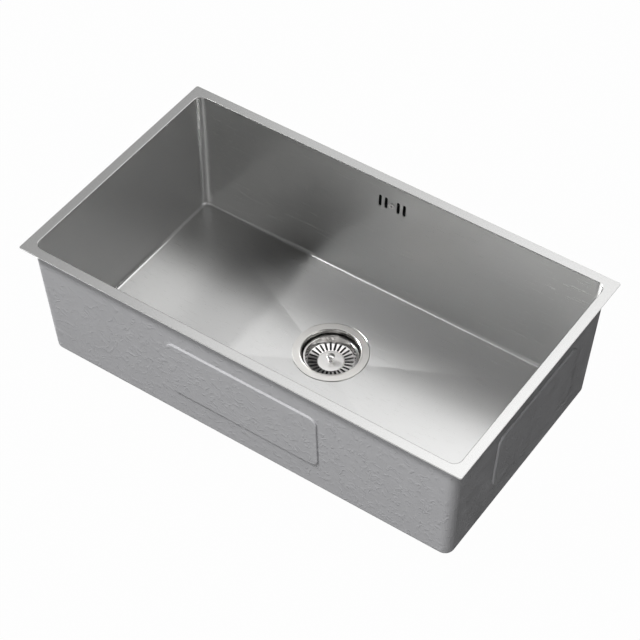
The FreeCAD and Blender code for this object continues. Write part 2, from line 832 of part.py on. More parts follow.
def make_basket_knob():
    """Turned knob: wide foot, narrow neck and a conical head with a low crown."""
    head = "-basket_disc + knob_height"
    body = turned("basket_knob", [
        ("0", f"{head} + knob_crown"),
        ("knob_dome_radius", f"{head} + knob_dome_height"),
        ("knob_radius", head),
        ("knob_radius", f"{head} - knob_cap / 2"),
        ("knob_neck_radius", "-basket_disc + knob_neck_height + knob_cap"),
        ("knob_neck_radius", "-basket_disc + knob_neck_height"),
        ("knob_foot_radius", "-basket_disc + knob_foot_height"),
        ("knob_foot_radius", "-basket_disc"),
        ("stem_radius", "-basket_disc"),
        ("stem_radius", "-basket_disc + stem_grip"),
        ("0", "-basket_disc + stem_grip"),
    ], WASTE)
    rims = [point("knob_radius", "0", head), point("knob_radius", "0", f"{head} - knob_cap / 2"),
            point("knob_foot_radius", "0", "-basket_disc + knob_foot_height")]
    round_edges(body, "knob_edge_radius", rims, "edges")
    return body


def make_basket_stem():
    """Pin through the basket, with a groove for the catch spring."""
    core = "stem_radius - stem_groove"
    return turned("basket_stem", [
        ("0", "-basket_disc + stem_grip"),
        ("stem_radius", "-basket_disc + stem_grip"),
        ("stem_radius", "-groove_top"),
        (core, "-groove_top"),
        (core, "-groove_under"),
        ("stem_radius", "-groove_under"),
        (core, "-stem_under"),
        ("0", "-stem_under"),
    ], WASTE)


def make_seal_carrier():
    """Plate that backs the rubber seal, with a hub up to the basket."""
    return turned("seal_carrier", [
        ("stem_radius", "-basket_under"),
        ("carrier_hub_radius", "-basket_under"),
        ("carrier_hub_radius", "-carrier_top"),
        ("carrier_radius", "-carrier_top"),
        ("carrier_radius", "-seal_top"),
        ("stem_radius", "-seal_top"),
    ], WASTE)


def make_basket_seal():
    """Rubber disc that closes on the seat of the cup."""
    return turned("basket_seal", [
        ("stem_radius", "-seal_top"),
        ("seal_radius - seal_lip", "-seal_top"),
        ("seal_radius", "-seal_top - seal_lip"),
        ("seal_radius", "-seal_under"),
        ("stem_radius", "-seal_under"),
    ], WASTE)


def make_seal_washer():
    """Washer that holds the seal on the stem."""
    return turned("seal_washer", [
        ("stem_radius", "-seal_under"),
        ("seal_washer_radius", "-seal_under"),
        ("seal_washer_radius", "-washer_under"),
        ("stem_radius", "-washer_under"),
    ], WASTE)


def make_catch_spring():
    """Split sleeve in the stem's groove, which grips the bore of the clamp screw."""
    body = turned("catch_spring", [
        ("catch_inner", "-catch_top"),
        ("catch_outer", "-catch_top"),
        ("catch_outer", "-catch_under"),
        ("catch_inner", "-catch_under"),
    ], WASTE)
    slit = new_sketch(body, "slit", "XY_Plane", "-catch_top")
    draw_rectangle(slit, "0", "2 * catch_outer", "-catch_slit / 2", "catch_slit / 2")
    pocket(body, slit, "catch_length")
    return body


# Overflow, measured out from the rear wall and square to it

OVERFLOW = "placement(vector(0; overflow_wall; -overflow_drop); rotationx(-wall_draft))"


def housing_outline(body, name, start, inset="0"):
    """A sketch of the housing's outline, drawn in by an inset, at one distance from the wall."""
    sketch = new_sketch(body, name, "XZ_Plane", f"-({start})")
    half = f"housing_length / 2 - {inset}"
    draw_rectangle(sketch, f"-({half})", half, f"-housing_fall + {inset}", f"housing_rise - {inset}")
    return sketch


def outline_corners(level, inset="0"):
    """The four corners of the housing's outline, at one distance from the wall."""
    half = f"housing_length / 2 - {inset}"
    heights = (f"-housing_fall + {inset}", f"housing_rise - {inset}")
    return [point(f"{sign} * ({half})", level, height) for sign in (-1, 1) for height in heights]


def make_overflow_gasket():
    """Frame-shaped gasket between the rear wall and the housing."""
    body = new_body("overflow_gasket", OVERFLOW)
    pad(body, housing_outline(body, "frame", "0"), "gasket_gauge", back=True)
    round_edges(body, "housing_corner_radius", outline_corners("gasket_gauge / 2"), "corners")
    pocket(body, housing_outline(body, "window", "0", "2 * housing_wall"), "gasket_gauge")
    inner = outline_corners("gasket_gauge / 2", "2 * housing_wall")
    round_edges(body, "housing_corner_radius - 2 * housing_wall", inner, "window_corners")
    return body


def make_overflow_housing():
    """Moulded box behind the slots, with a screw boss and a spigot for the pipe."""
    body = new_body("overflow_housing", OVERFLOW)
    pad(body, housing_outline(body, "block", "gasket_gauge"), "housing_depth", back=True)
    hollow = housing_outline(body, "hollow", "gasket_gauge", "housing_wall")
    pocket(body, hollow, "housing_depth - housing_wall")
    middle = "housing_back - housing_depth / 2"
    inner = outline_corners(middle, "housing_wall")
    round_edges(body, "housing_corner_radius - housing_wall", inner, "hollow_corners")
    round_edges(body, "housing_corner_radius", outline_corners(middle), "corners")
    round_edges(body, "housing_edge_radius", [point("0", "housing_back", "housing_rise")], "back_edge")
    spigot = new_sketch(body, "spigot", "XY_Plane", "-housing_fall + housing_wall / 2")
    draw_circle(spigot, "0", "spigot_axis", "spigot_radius")
    pad(body, spigot, "spigot_length + housing_wall / 2", back=True)
    boss = new_sketch(body, "boss", "XZ_Plane", "-gasket_gauge")
    draw_circle(boss, "0", "0", "boss_radius")
    pad(body, boss, "housing_depth - housing_wall / 2", back=True)
    hole = new_sketch(body, "hole", "XZ_Plane", "-gasket_gauge")
    draw_circle(hole, "0", "0", "overflow_screw_hole")
    pocket(body, hole, "overflow_screw_length")
    seat = new_sketch(body, "insert_seat", "XZ_Plane", "-insert_face")
    draw_circle(seat, "0", "0", "overflow_insert_radius")
    pocket(body, seat, "overflow_insert_length")
    mouth = "-housing_mouth"
    spigot_bores(body, "XY_Plane", mouth, "spigot_axis", "spigot_length + 2 * housing_wall", True)
    return body


def make_overflow_screw():
    """Round-headed screw with a cross recess, from inside the bowl into the housing."""
    body = turned("overflow_screw", [
        ("0", "-overflow_head_face"),
        ("overflow_head_radius", "-overflow_head_face"),
        ("overflow_head_radius", "-sheet_gauge"),
        ("overflow_screw_radius", "-sheet_gauge"),
        ("overflow_screw_radius", "overflow_screw_length - gasket_gauge"),
        ("0", "overflow_screw_length - gasket_gauge"),
    ], OVERFLOW, "XY_Plane")
    head = point("overflow_head_radius", "-overflow_head_face", "0")
    round_edges(body, "overflow_head_edge", [head], "head")
    cross = new_sketch(body, "cross", "XZ_Plane", "overflow_head_face")
    long, short = "cross_length / 2", "cross_width / 2"
    draw_polygon(cross, [
        (long, f"-{short}"), (long, short), (short, short), (short, long),
        (f"-{short}", long), (f"-{short}", short), (f"-{long}", short), (f"-{long}", f"-{short}"),
        (f"-{short}", f"-{short}"), (f"-{short}", f"-{long}"), (short, f"-{long}"), (short, f"-{short}"),
    ])
    pocket(body, cross, "cross_depth")
    return body


def make_overflow_insert():
    """Threaded insert in the housing's boss."""
    end = "insert_face + overflow_insert_length"
    return turned("overflow_insert", [
        ("overflow_screw_radius", "insert_face"),
        ("overflow_insert_radius", "insert_face"),
        ("overflow_insert_radius", end),
        ("overflow_screw_radius", end),
    ], OVERFLOW, "XY_Plane")


def make_overflow_pipe():
    """Bent pipe from the overflow housing down behind the bowl to the waste body."""
    body = new_body("overflow_pipe", OVERFLOW)
    route = new_sketch(body, "route", "YZ_Plane")
    ends = [
        ("spigot_axis", "-pipe_start"),
        ("spigot_axis", "elbow_z + elbow_run"),
        ("spigot_axis - elbow_run * cos(wall_draft)", "elbow_z - elbow_run * sin(wall_draft)"),
        ("pipe_end_y", "pipe_end_z"),
    ]
    top, bend_in, bend_out, far = [point(x, y, "0") for x, y in ends]
    reach = value("pipe_bend_radius")
    circle = Part.Circle(bend_in - FreeCAD.Vector(reach, 0, 0), FreeCAD.Vector(0, 0, 1), reach)
    turn = math.radians(90 - value("wall_draft"))
    route.addGeometry(Part.LineSegment(top, bend_in))
    route.addGeometry(Part.LineSegment(bend_out, far))
    route.addGeometry(Part.ArcOfCircle(circle, -turn, 0))
    for line, (first, last) in enumerate(((0, 1), (2, 3))):
        fix_point(route, line, 1, *ends[first])
        fix_point(route, line, 2, *ends[last])
    route.addConstraint(Sketcher.Constraint("Coincident", 2, 2, 0, 2))
    route.addConstraint(Sketcher.Constraint("Coincident", 2, 1, 1, 1))
    fix_radius(route, 2, "pipe_bend_radius")
    ring = new_sketch(body, "ring", "XY_Plane", "-pipe_start")
    draw_circle(ring, "0", "spigot_axis", "pipe_radius")
    draw_circle(ring, "0", "spigot_axis", "pipe_bore")
    pipe = body.newObject("PartDesign::AdditivePipe", "overflow_pipe_tube")
    pipe.Profile = ring
    pipe.Spine = route
    return body


def make_pipe_joints():
    """A ribbed nut and a seal on each of the two spigots, drawn with the pipe coming from below."""
    upper = f"{OVERFLOW} * placement(vector(0; spigot_axis; -housing_mouth); rotationx(0))"
    lower = ("placement(vector(0; drain_offset + spigot_mouth; -flange_level - spigot_drop); "
             "rotationx(90))")
    pieces = []
    for end, placement in (("upper", upper), ("lower", lower)):
        nut = turned(f"{end}_pipe_nut", [
            ("nut_bore", "nut_reach"),
            ("nut_radius", "nut_reach"),
            ("nut_radius", "-nut_under"),
            ("spigot_bore", "-nut_under"),
            ("spigot_bore", "-pipe_seal_gauge"),
            ("nut_bore", "-pipe_seal_gauge"),
        ], placement)
        rib = new_sketch(nut, "rib", "XY_Plane", "-nut_under")
        draw_rectangle(rib, "nut_radius - nut_wall / 2", "nut_radius + nut_rib_height",
                       "-nut_rib_width / 2", "nut_rib_width / 2")
        repeat(nut, pad(nut, rib, "nut_reach + nut_under"), "nut_ribs")
        seal = turned(f"{end}_pipe_seal", [
            ("pipe_radius", "0"),
            ("spigot_radius", "0"),
            ("spigot_radius", "-pipe_seal_gauge"),
            ("pipe_radius", "-pipe_seal_gauge"),
        ], placement)
        pieces += [nut, seal]
    return pieces


sub_parts = [make_bowl(), make_undercoat()]
sub_parts += make_sound_pads()
sub_parts += [make_waste_flange(), make_flange_seal(), make_body_seal(), make_waste_body()]
sub_parts += [make_clamp_screw(), make_body_insert()]
sub_parts += [make_strainer_basket(), make_basket_knob(), make_basket_stem(), make_seal_carrier()]
sub_parts += [make_basket_seal(), make_seal_washer(), make_catch_spring()]
sub_parts += [make_overflow_gasket(), make_overflow_housing(), make_overflow_screw()]
sub_parts += [make_overflow_insert(), make_overflow_pipe()]
sub_parts += make_pipe_joints()
doc.recompute()

# Every object must have come out before anything is written
for item in doc.Objects:
    if "Invalid" in item.State or "Error" in item.State:
        raise RuntimeError(f"{item.Name} failed: {item.State}")
for part in sub_parts:
    if part.Shape.isNull() or not part.Shape.isValid() or len(part.Shape.Solids) != 1:
        raise RuntimeError(f"{part.Label} has no sound solid")

os.makedirs("parts", exist_ok=True)
for part in sub_parts:
    part.Shape.exportStep(f"parts/{part.Label}.step")
    box = part.Shape.BoundBox
    print(f"{part.Label}: {box.XLength:.1f} x {box.YLength:.1f} x {box.ZLength:.1f} mm, "
          f"{part.Shape.Volume / 1000:.2f} cm3")
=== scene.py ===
# %% [markdown]
# # A stainless steel kitchen sink
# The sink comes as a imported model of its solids: a pressed bowl with an undercoat and sound pads, a
# basket strainer waste and an overflow. This lesson sets up a camera and a studio round them, and
# gives each solid the finish of its material.

# %% Load the solids
import json
from math import cos, pi, radians, sin

import bmesh
import bpy
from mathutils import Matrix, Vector


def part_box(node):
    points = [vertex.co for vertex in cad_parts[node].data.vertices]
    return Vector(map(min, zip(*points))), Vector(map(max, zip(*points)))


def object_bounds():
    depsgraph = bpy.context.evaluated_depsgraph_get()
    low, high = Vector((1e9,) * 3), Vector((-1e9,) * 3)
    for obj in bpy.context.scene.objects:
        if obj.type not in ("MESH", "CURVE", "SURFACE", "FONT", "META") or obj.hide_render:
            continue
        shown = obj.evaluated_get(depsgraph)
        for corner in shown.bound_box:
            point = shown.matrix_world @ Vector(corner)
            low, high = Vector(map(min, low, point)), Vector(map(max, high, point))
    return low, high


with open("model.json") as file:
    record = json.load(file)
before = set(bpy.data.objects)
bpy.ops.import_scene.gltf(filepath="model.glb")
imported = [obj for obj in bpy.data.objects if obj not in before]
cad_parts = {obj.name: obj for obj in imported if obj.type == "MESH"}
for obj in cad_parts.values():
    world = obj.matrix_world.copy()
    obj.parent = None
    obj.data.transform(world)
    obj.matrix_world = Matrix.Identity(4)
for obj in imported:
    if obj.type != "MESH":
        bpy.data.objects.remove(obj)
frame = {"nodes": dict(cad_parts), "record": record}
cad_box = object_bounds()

nodes = frame["nodes"]
scene = bpy.context.scene
print("solids:", len(nodes), "box:", [[round(c, 4) for c in corner] for corner in cad_box])

# %% [markdown]
# ## Camera
# The picture looks down into the bowl from the front right. The angles below were fitted to the
# corners of the rim and to the foot of the bowl. A long lens keeps the sides nearly parallel.

# %% Set the camera
AZIMUTH = radians(34.552)
ELEVATION = radians(47.273)
CAMERA_PLACE = (1.1130, -1.6104, 2.0120)
LENS = 118.45
SENSOR_WIDTH = 36

towards_camera = Vector((
    sin(AZIMUTH) * cos(ELEVATION),
    -cos(AZIMUTH) * cos(ELEVATION),
    sin(ELEVATION),
))
camera_data = bpy.data.cameras.new("camera")
camera_data.sensor_width = SENSOR_WIDTH
camera_data.lens = LENS
camera = bpy.data.objects.new("camera", camera_data)
camera.location = CAMERA_PLACE
camera.rotation_euler = (-towards_camera).to_track_quat("-Z", "Y").to_euler()
scene.collection.objects.link(camera)
scene.camera = camera
scene.view_settings.view_transform = "Standard"
print("camera at", [round(c, 3) for c in camera.location])

# %% [markdown]
# ## Shader helpers
# Every finish is a small graph of nodes. These helpers place a node and fill its sockets, with a
# number, a colour or the output of another node. The short ones stand for the nodes that come up
# most: a sum, a stretched range, a mix of two colours, a noise and a relief.

# %% Helpers for nodes
NOISE_LOW = 0.3
NOISE_HIGH = 0.7


def fill(tree, sockets, values):
    """Give each named socket a number or a colour, or link it to another node."""
    for name, value in values.items():
        if isinstance(value, bpy.types.NodeSocket):
            tree.links.new(value, sockets[name])
        else:
            sockets[name].default_value = value


def add(tree, kind, inputs, **settings):
    """Place a node, choose its settings, fill its sockets and return its outputs."""
    node = tree.nodes.new(kind)
    for name, setting in settings.items():
        setattr(node, name, setting)
    fill(tree, node.inputs, inputs)
    return node.outputs


def calc(tree, operation, first, second=0.0):
    """One sum of two values."""
    return add(tree, "ShaderNodeMath", {0: first, 1: second}, operation=operation)[0]


def vector_calc(tree, operation, first, second):
    """One sum of two vectors."""
    return add(tree, "ShaderNodeVectorMath", {0: first, 1: second}, operation=operation)[0]


def spread(tree, value, low, high, start=0.0, end=1.0):
    """Stretch a value between low and high to the range from start to end."""
    inputs = {"Value": value, "From Min": low, "From Max": high, "To Min": start, "To Max": end}
    return add(tree, "ShaderNodeMapRange", inputs)[0]


def blend(tree, mask, first, second):
    """Mix two colours by a mask."""
    return add(tree, "ShaderNodeMix", {0: mask, 6: first, 7: second}, data_type="RGBA")[2]


def noise(tree, place, scale, detail, roughness=0.5, distortion=0.0):
    """A soft noise, which mostly stays between NOISE_LOW and NOISE_HIGH."""
    inputs = {"Vector": place, "Scale": scale, "Detail": detail}
    inputs.update({"Roughness": roughness, "Distortion": distortion})
    return add(tree, "ShaderNodeTexNoise", inputs)[0]


def vary(tree, value, start, end):
    """Stretch a noise to the range from start to end."""
    return spread(tree, value, NOISE_LOW, NOISE_HIGH, start, end)


def relief(tree, height, strength, depth):
    """A normal that follows a height of this depth in metres."""
    inputs = {"Height": height, "Strength": strength, "Distance": depth}
    return add(tree, "ShaderNodeBump", inputs)[0]


def grey(level):
    """A neutral colour of one brightness."""
    return (level, level, level, 1.0)


print("node helpers ready")

# %% [markdown]
# A node group builds an effect once, and any material can use it. A new material starts with its
# shader, and with the place of each point in metres, which all textures read.

# %% Helpers for groups and materials
def new_group(name, inputs, outputs):
    """A node group with named sockets, each a pair of name and kind."""
    group = bpy.data.node_groups.new(name, "ShaderNodeTree")
    for socket, kind in inputs:
        group.interface.new_socket(socket, in_out="INPUT", socket_type=f"NodeSocket{kind}")
    for socket, kind in outputs:
        group.interface.new_socket(socket, in_out="OUTPUT", socket_type=f"NodeSocket{kind}")
    given = group.nodes.new("NodeGroupInput").outputs
    made = group.nodes.new("NodeGroupOutput").inputs
    return group, given, made


def use(tree, group, inputs):
    """Place a node group in a material and return its outputs."""
    return add(tree, "ShaderNodeGroup", inputs, node_tree=group)


def new_material(name):
    """A material and its graph."""
    material = bpy.data.materials.new(name)
    material.use_nodes = True
    return material, material.node_tree


def new_finish(name):
    """A material with its graph, the sockets of its shader, and the place of each point."""
    finish, tree = new_material(name)
    place = tree.nodes.new("ShaderNodeTexCoord").outputs["Object"]
    return finish, tree, tree.nodes["Principled BSDF"].inputs, place


print("material helpers ready")

# %% [markdown]
# ## Studio
# The sink stands on a pale floor in front of white. The floor and the world are white for the
# camera and for gloss. For all other light they are dark, so that they put no light of their own on
# the matt coat.

# %% White surroundings
AMBIENT = 0.025
FLOOR_SIZE = 30
FLOOR_GAP = 0.001
FLOOR_GLOW = 0.985
FLOOR_GREY = 0.06


def background_mask(tree):
    """One for the rays that see the background: from the camera, from gloss and through glass."""
    path = tree.nodes.new("ShaderNodeLightPath").outputs
    seen = calc(tree, "MAXIMUM", path["Is Camera Ray"], path["Is Glossy Ray"])
    return calc(tree, "MAXIMUM", seen, path["Is Transmission Ray"])


world = bpy.data.worlds.new("studio")
scene.world = world
world.use_nodes = True
tree = world.node_tree
strength = spread(tree, background_mask(tree), 0, 1, AMBIENT, 1)
fill(tree, tree.nodes["Background"].inputs, {"Color": grey(1), "Strength": strength})

floor_level = cad_box[0][2] - FLOOR_GAP
floor_mesh = bpy.data.meshes.new("floor")
sheet = bmesh.new()
bmesh.ops.create_grid(sheet, x_segments=1, y_segments=1, size=FLOOR_SIZE)
bmesh.ops.translate(sheet, verts=sheet.verts, vec=(0, 0, floor_level))
sheet.to_mesh(floor_mesh)
sheet.free()
floor = bpy.data.objects.new("floor", floor_mesh)
scene.collection.objects.link(floor)

floor_paint, tree = new_material("floor_paint")
glow = add(tree, "ShaderNodeEmission", {"Color": grey(1), "Strength": 1})[0]
matt = add(tree, "ShaderNodeBsdfDiffuse", {"Color": grey(FLOOR_GREY)})[0]
share = calc(tree, "MULTIPLY", background_mask(tree), FLOOR_GLOW)
mixed = add(tree, "ShaderNodeMixShader", {0: share, 1: matt, 2: glow})[0]
fill(tree, tree.nodes["Material Output"].inputs, {"Surface": mixed})
floor_mesh.materials.append(floor_paint)
print("floor at", round(floor_level, 4))

# %% [markdown]
# ## Cards
# Metal shows its surroundings more than its own colour, so the studio matters as much as the
# finish. Cards hang round the bowl, as a photographer hangs them, and are seen only in reflections.
# The rim and the floor of the bowl show the bright card behind the sink. Dark cards on the other
# sides keep the walls dark. Each card stores its brightness at its corners, so one paint does for
# all of them.

# %% Hang the cards
AIM = Vector((0, 0, -0.1))

card_paint, tree = new_material("card_paint")
level = add(tree, "ShaderNodeAttribute", {}, attribute_name="level")["Fac"]
glow = add(tree, "ShaderNodeEmission", {"Color": grey(1), "Strength": level})[0]
fill(tree, tree.nodes["Material Output"].inputs, {"Surface": glow})


def hang_card(name, middle, size, levels, foot=1.0):
    """A card that faces the bowl: its levels from left to right, and the share left at its foot."""
    mesh = bpy.data.meshes.new(name)
    card = bmesh.new()
    steps = len(levels) - 1
    bmesh.ops.create_grid(card, x_segments=steps, y_segments=1, size=0.5)
    layer = card.verts.layers.float.new("level")
    for corner in card.verts:
        share = 1.0 if corner.co.y > 0 else foot
        corner[layer] = levels[round((0.5 - corner.co.x) * steps)] * share
    bmesh.ops.scale(card, verts=card.verts, vec=(size[0], size[1], 1))
    turn = (Vector(middle) - AIM).to_track_quat("Z", "Y").to_matrix()
    bmesh.ops.rotate(card, verts=card.verts, matrix=turn)
    bmesh.ops.translate(card, verts=card.verts, vec=middle)
    card.to_mesh(mesh)
    card.free()
    mesh.materials.append(card_paint)
    piece = bpy.data.objects.new(name, mesh)
    scene.collection.objects.link(piece)
    for ray in ("camera", "diffuse", "shadow", "volume_scatter"):
        setattr(piece, f"visible_{ray}", False)


hang_card("front_left_card", (-2.2, -2.2, 2.4), (5.0, 4.2), [0.02, 0.02])
hang_card("front_right_card", (2.4, -2.4, 2.2), (5.0, 4.2), [0.20, 0.26, 1.00])
hang_card("left_card", (-3.4, 1.4, 2.4), (4.0, 4.2), [0.22, 0.22])
hang_card("right_card", (3.0, 1.8, 2.0), (4.0, 4.0), [0.18, 0.18])
hang_card("top_card", (-0.2, -0.3, 3.4), (4.6, 3.0), [0.15, 0.15])
back_levels = [0.23, 0.69, 1.48, 1.44, 2.12, 2.15, 2.08, 2.75, 3.10, 0.77, 0.19]
hang_card("back_card", (-0.35, 1.9, 2.2), (3.6, 2.2), back_levels, foot=0.4)
hang_card("horizon_card", (0, 4.0, 1.1), (9.0, 3.0), [0.12, 0.12])

# %% [markdown]
# ## Lamps
# The small box on the left is the key light of the steel. It throws the sharp shadow of the left
# rim on the floor of the bowl and lights the rest of that floor. It is too strong for the matt coat,
# so it works on gloss alone. The coat has its own boxes, which aren't seen in the steel: one on the
# left, a steep one that draws a shadow under the front rim, a weak low one, one at the front right
# that picks out the edges of the right pad, and one behind.

# %% Hang the soft boxes
def hang_lamp(name, middle, size, power):
    """A rectangular soft box that faces the sink."""
    data = bpy.data.lights.new(name, "AREA")
    data.shape = "RECTANGLE"
    data.size, data.size_y = size
    data.energy = power
    lamp = bpy.data.objects.new(name, data)
    lamp.location = middle
    lamp.rotation_euler = (AIM - Vector(middle)).to_track_quat("-Z", "Y").to_euler()
    scene.collection.objects.link(lamp)
    return lamp


key_box = hang_lamp("key_box", (-3.3, -0.12, 2.8), (0.16, 0.16), 475)
key_box.visible_diffuse = False
coat_boxes = [
    hang_lamp("left_box", (-3.3, -0.12, 2.2), (1.0, 1.0), 170),
    hang_lamp("front_box", (-0.3, -1.6, 3.1), (1.6, 0.5), 136),
    hang_lamp("low_box", (-0.9, -3.2, 1.4), (1.2, 0.8), 8),
    hang_lamp("right_box", (1.0, -2.5, 2.0), (0.4, 0.4), 48),
    hang_lamp("back_box", (-0.6, 3.2, 1.7), (1.6, 1.0), 90),
]
for lamp in coat_boxes:
    lamp.visible_glossy = False

# %% [markdown]
# ## Shared effects
# Rolled and brushed steel carries fine lines and faint cloudy smudges. The lines are a noise that is
# stretched along one direction.

# %% Brushed lines
SMUDGE_SCALE = 14.0

brushed_lines, given, made = new_group(
    "brushed_lines",
    [("Vector", "Vector"), ("Along", "Float"), ("Across", "Float")],
    [("Height", "Float"), ("Smudge", "Float")],
)
sides = {0: given["Along"], 1: given["Across"], 2: given["Across"]}
stretch = add(brushed_lines, "ShaderNodeCombineXYZ", sides)[0]
fine = vector_calc(brushed_lines, "MULTIPLY", given["Vector"], stretch)
fill(brushed_lines, made, {
    "Height": noise(brushed_lines, fine, 1.0, 4.0, roughness=0.7),
    "Smudge": noise(brushed_lines, given["Vector"], SMUDGE_SCALE, 3.0),
})
print("group:", brushed_lines.name)

# %% [markdown]
# Sprayed and moulded faces carry a soft stipple, with wider patches that are a little lighter or
# darker.

# %% Stipple
PATCH_SHARE = 0.11

stipple, given, made = new_group(
    "stipple",
    [("Vector", "Vector"), ("Scale", "Float")],
    [("Height", "Float"), ("Mottle", "Float")],
)
wide = calc(stipple, "MULTIPLY", given["Scale"], PATCH_SHARE)
fill(stipple, made, {
    "Height": noise(stipple, given["Vector"], given["Scale"], 4.0, roughness=0.6),
    "Mottle": noise(stipple, given["Vector"], wide, 3.0, distortion=0.6),
})
print("group:", stipple.name)

# %% [markdown]
# The pieces of the waste are round, so their finishes need each point's distance from the waste's
# axis, its share of a turn round that axis, and its height. Radius and height together are a place
# that stays the same all the way round, which turns fine lines into rings.

# %% Round the waste
WASTE_AXIS = (0.0, 0.033, 0.0)

round_waste, given, made = new_group(
    "round_waste",
    [("Vector", "Vector")],
    [("Radius", "Float"), ("Turn", "Float"), ("Height", "Float"), ("Ring", "Vector")],
)
local = vector_calc(round_waste, "SUBTRACT", given["Vector"], WASTE_AXIS)
flat = vector_calc(round_waste, "MULTIPLY", local, (1, 1, 0))
radius = add(round_waste, "ShaderNodeVectorMath", {0: flat}, operation="LENGTH")["Value"]
side = add(round_waste, "ShaderNodeSeparateXYZ", {0: local})
angle = calc(round_waste, "ARCTAN2", side["Y"], side["X"])
fill(round_waste, made, {
    "Radius": radius,
    "Turn": calc(round_waste, "DIVIDE", angle, 2 * pi),
    "Height": side["Z"],
    "Ring": add(round_waste, "ShaderNodeCombineXYZ", {0: 0.0, 1: radius, 2: side["Z"]})[0],
})
print("group:", round_waste.name)

# %% [markdown]
# ## Bowl
# The bowl is pressed from one sheet of satin steel. Steel is a pure metal: its look comes from what
# it reflects and from how rough it is. A rolled sheet is never even: very fine lines run along the
# bowl and change its roughness and relief, and a faint smudge changes its colour. The rim is ground
# flat after pressing, which leaves it a little darker and smoother.

# %% Finish of the bowl
STEEL_LIGHT = (0.67, 0.67, 0.665, 1.0)
STEEL_DARK = (0.65, 0.65, 0.645, 1.0)
STEEL_RIM = (0.60, 0.60, 0.595, 1.0)
RIM_LEVEL = -0.0013
RIM_POLISH = 0.04
SATIN = (0.272, 0.288)
BOWL_LINES = {"Along": 18.0, "Across": 1600.0}
BOWL_RELIEF = (0.006, 0.0006)

bowl_finish, tree, shader, place = new_finish("bowl_finish")
lines = use(tree, brushed_lines, {"Vector": place, **BOWL_LINES})
height = add(tree, "ShaderNodeSeparateXYZ", {0: place})["Z"]
rim = calc(tree, "GREATER_THAN", height, RIM_LEVEL)
sheet_colour = blend(tree, lines["Smudge"], STEEL_DARK, STEEL_LIGHT)
satin = vary(tree, lines["Height"], *SATIN)
fill(tree, shader, {
    "Base Color": blend(tree, rim, sheet_colour, STEEL_RIM),
    "Metallic": 1.0,
    "Roughness": calc(tree, "SUBTRACT", satin, calc(tree, "MULTIPLY", rim, RIM_POLISH)),
    "Normal": relief(tree, lines["Height"], *BOWL_RELIEF),
})
print("finish:", bowl_finish.name)

# %% [markdown]
# ## Undercoat
# The outside is sprayed with a thick matt grey coat, over the sound pads too. It keeps water from
# dripping off the cold steel and dulls its ringing. A real coat isn't flat: it dries with a fine
# grain and with short curved ridges where the spray ran. The ridges are the thin lines where a soft
# noise crosses its middle value, and a second noise breaks them into short pieces.

# %% Finish of the undercoat
COAT_LIGHT = (0.40, 0.40, 0.41, 1.0)
COAT_DARK = (0.375, 0.375, 0.385, 1.0)
COAT_PATCHES = (0.35, 0.65)
COAT_SHEEN = 0.3
COAT_ROUGH = (0.62, 0.75)
COAT_RELIEF = (0.52, 0.0008)
GRAIN_SCALE = 420.0
GRAIN_SHARE = 0.5
RUN_SCALE = 64.0
RUN_WIDTH = 0.07
BREAK_SCALE = 95.0
BREAK_RANGE = (0.42, 0.62)

coat_finish, tree, shader, place = new_finish("coat_finish")
spray = use(tree, stipple, {"Vector": place, "Scale": GRAIN_SCALE})
runs = noise(tree, place, RUN_SCALE, 1.5, distortion=1.0)
off_middle = calc(tree, "ABSOLUTE", calc(tree, "SUBTRACT", runs, 0.5))
run_lines = spread(tree, off_middle, 0.0, RUN_WIDTH, 1.0, 0.0)
breaks = spread(tree, noise(tree, place, BREAK_SCALE, 1.0), *BREAK_RANGE)
ridges = calc(tree, "MULTIPLY", run_lines, breaks)
grain = calc(tree, "MULTIPLY", spray["Height"], GRAIN_SHARE)
patches = spread(tree, spray["Mottle"], *COAT_PATCHES)
fill(tree, shader, {
    "Base Color": blend(tree, patches, COAT_DARK, COAT_LIGHT),
    "Specular IOR Level": COAT_SHEEN,
    "Roughness": vary(tree, spray["Mottle"], *COAT_ROUGH),
    "Normal": relief(tree, calc(tree, "ADD", ridges, grain), *COAT_RELIEF),
})
print("finish:", coat_finish.name)

# %% [markdown]
# ## Waste and basket
# The strainer cup and the basket are turned and pressed round one axis, so their fine lines are
# rings. Polishing isn't even: the flange and the middle of the basket are satin, while the lip, the
# cup and the slotted ring shine. One helper takes both roughnesses and the radius at which they
# change.

# %% Finishes of the waste
WASTE_STEEL = (0.65, 0.64, 0.62, 1.0)
BASKET_STEEL = (0.74, 0.73, 0.72, 1.0)
KNOB_STEEL = (0.72, 0.71, 0.70, 1.0)
FLANGE_START = 0.0435
SLOTS_START = 0.0185
CHANGE_WIDTH = 0.001
RING_LINES = {"Along": 1.0, "Across": 2600.0}
RING_ROUGH = (0.9, 1.1)
RING_DEPTH = 0.0003


def turned_steel(name, colour, inner_rough, outer_rough, change, strength):
    """Steel with fine rings round the waste's axis, and a change of roughness at one radius."""
    finish, tree, shader, place = new_finish(name)
    axis = use(tree, round_waste, {"Vector": place})
    rings = use(tree, brushed_lines, {"Vector": axis["Ring"], **RING_LINES})["Height"]
    inside, outside = change - CHANGE_WIDTH / 2, change + CHANGE_WIDTH / 2
    rough = spread(tree, axis["Radius"], inside, outside, inner_rough, outer_rough)
    fill(tree, shader, {
        "Base Color": colour,
        "Metallic": 1.0,
        "Roughness": calc(tree, "MULTIPLY", rough, vary(tree, rings, *RING_ROUGH)),
        "Normal": relief(tree, rings, strength, RING_DEPTH),
    })
    return finish


waste_finish = turned_steel("waste_finish", WASTE_STEEL, 0.18, 0.33, FLANGE_START, 0.05)
basket_finish = turned_steel("basket_finish", BASKET_STEEL, 0.36, 0.11, SLOTS_START, 0.02)
knob_finish = turned_steel("knob_finish", KNOB_STEEL, 0.12, 0.12, SLOTS_START, 0.02)
print("finishes:", waste_finish.name, basket_finish.name, knob_finish.name)

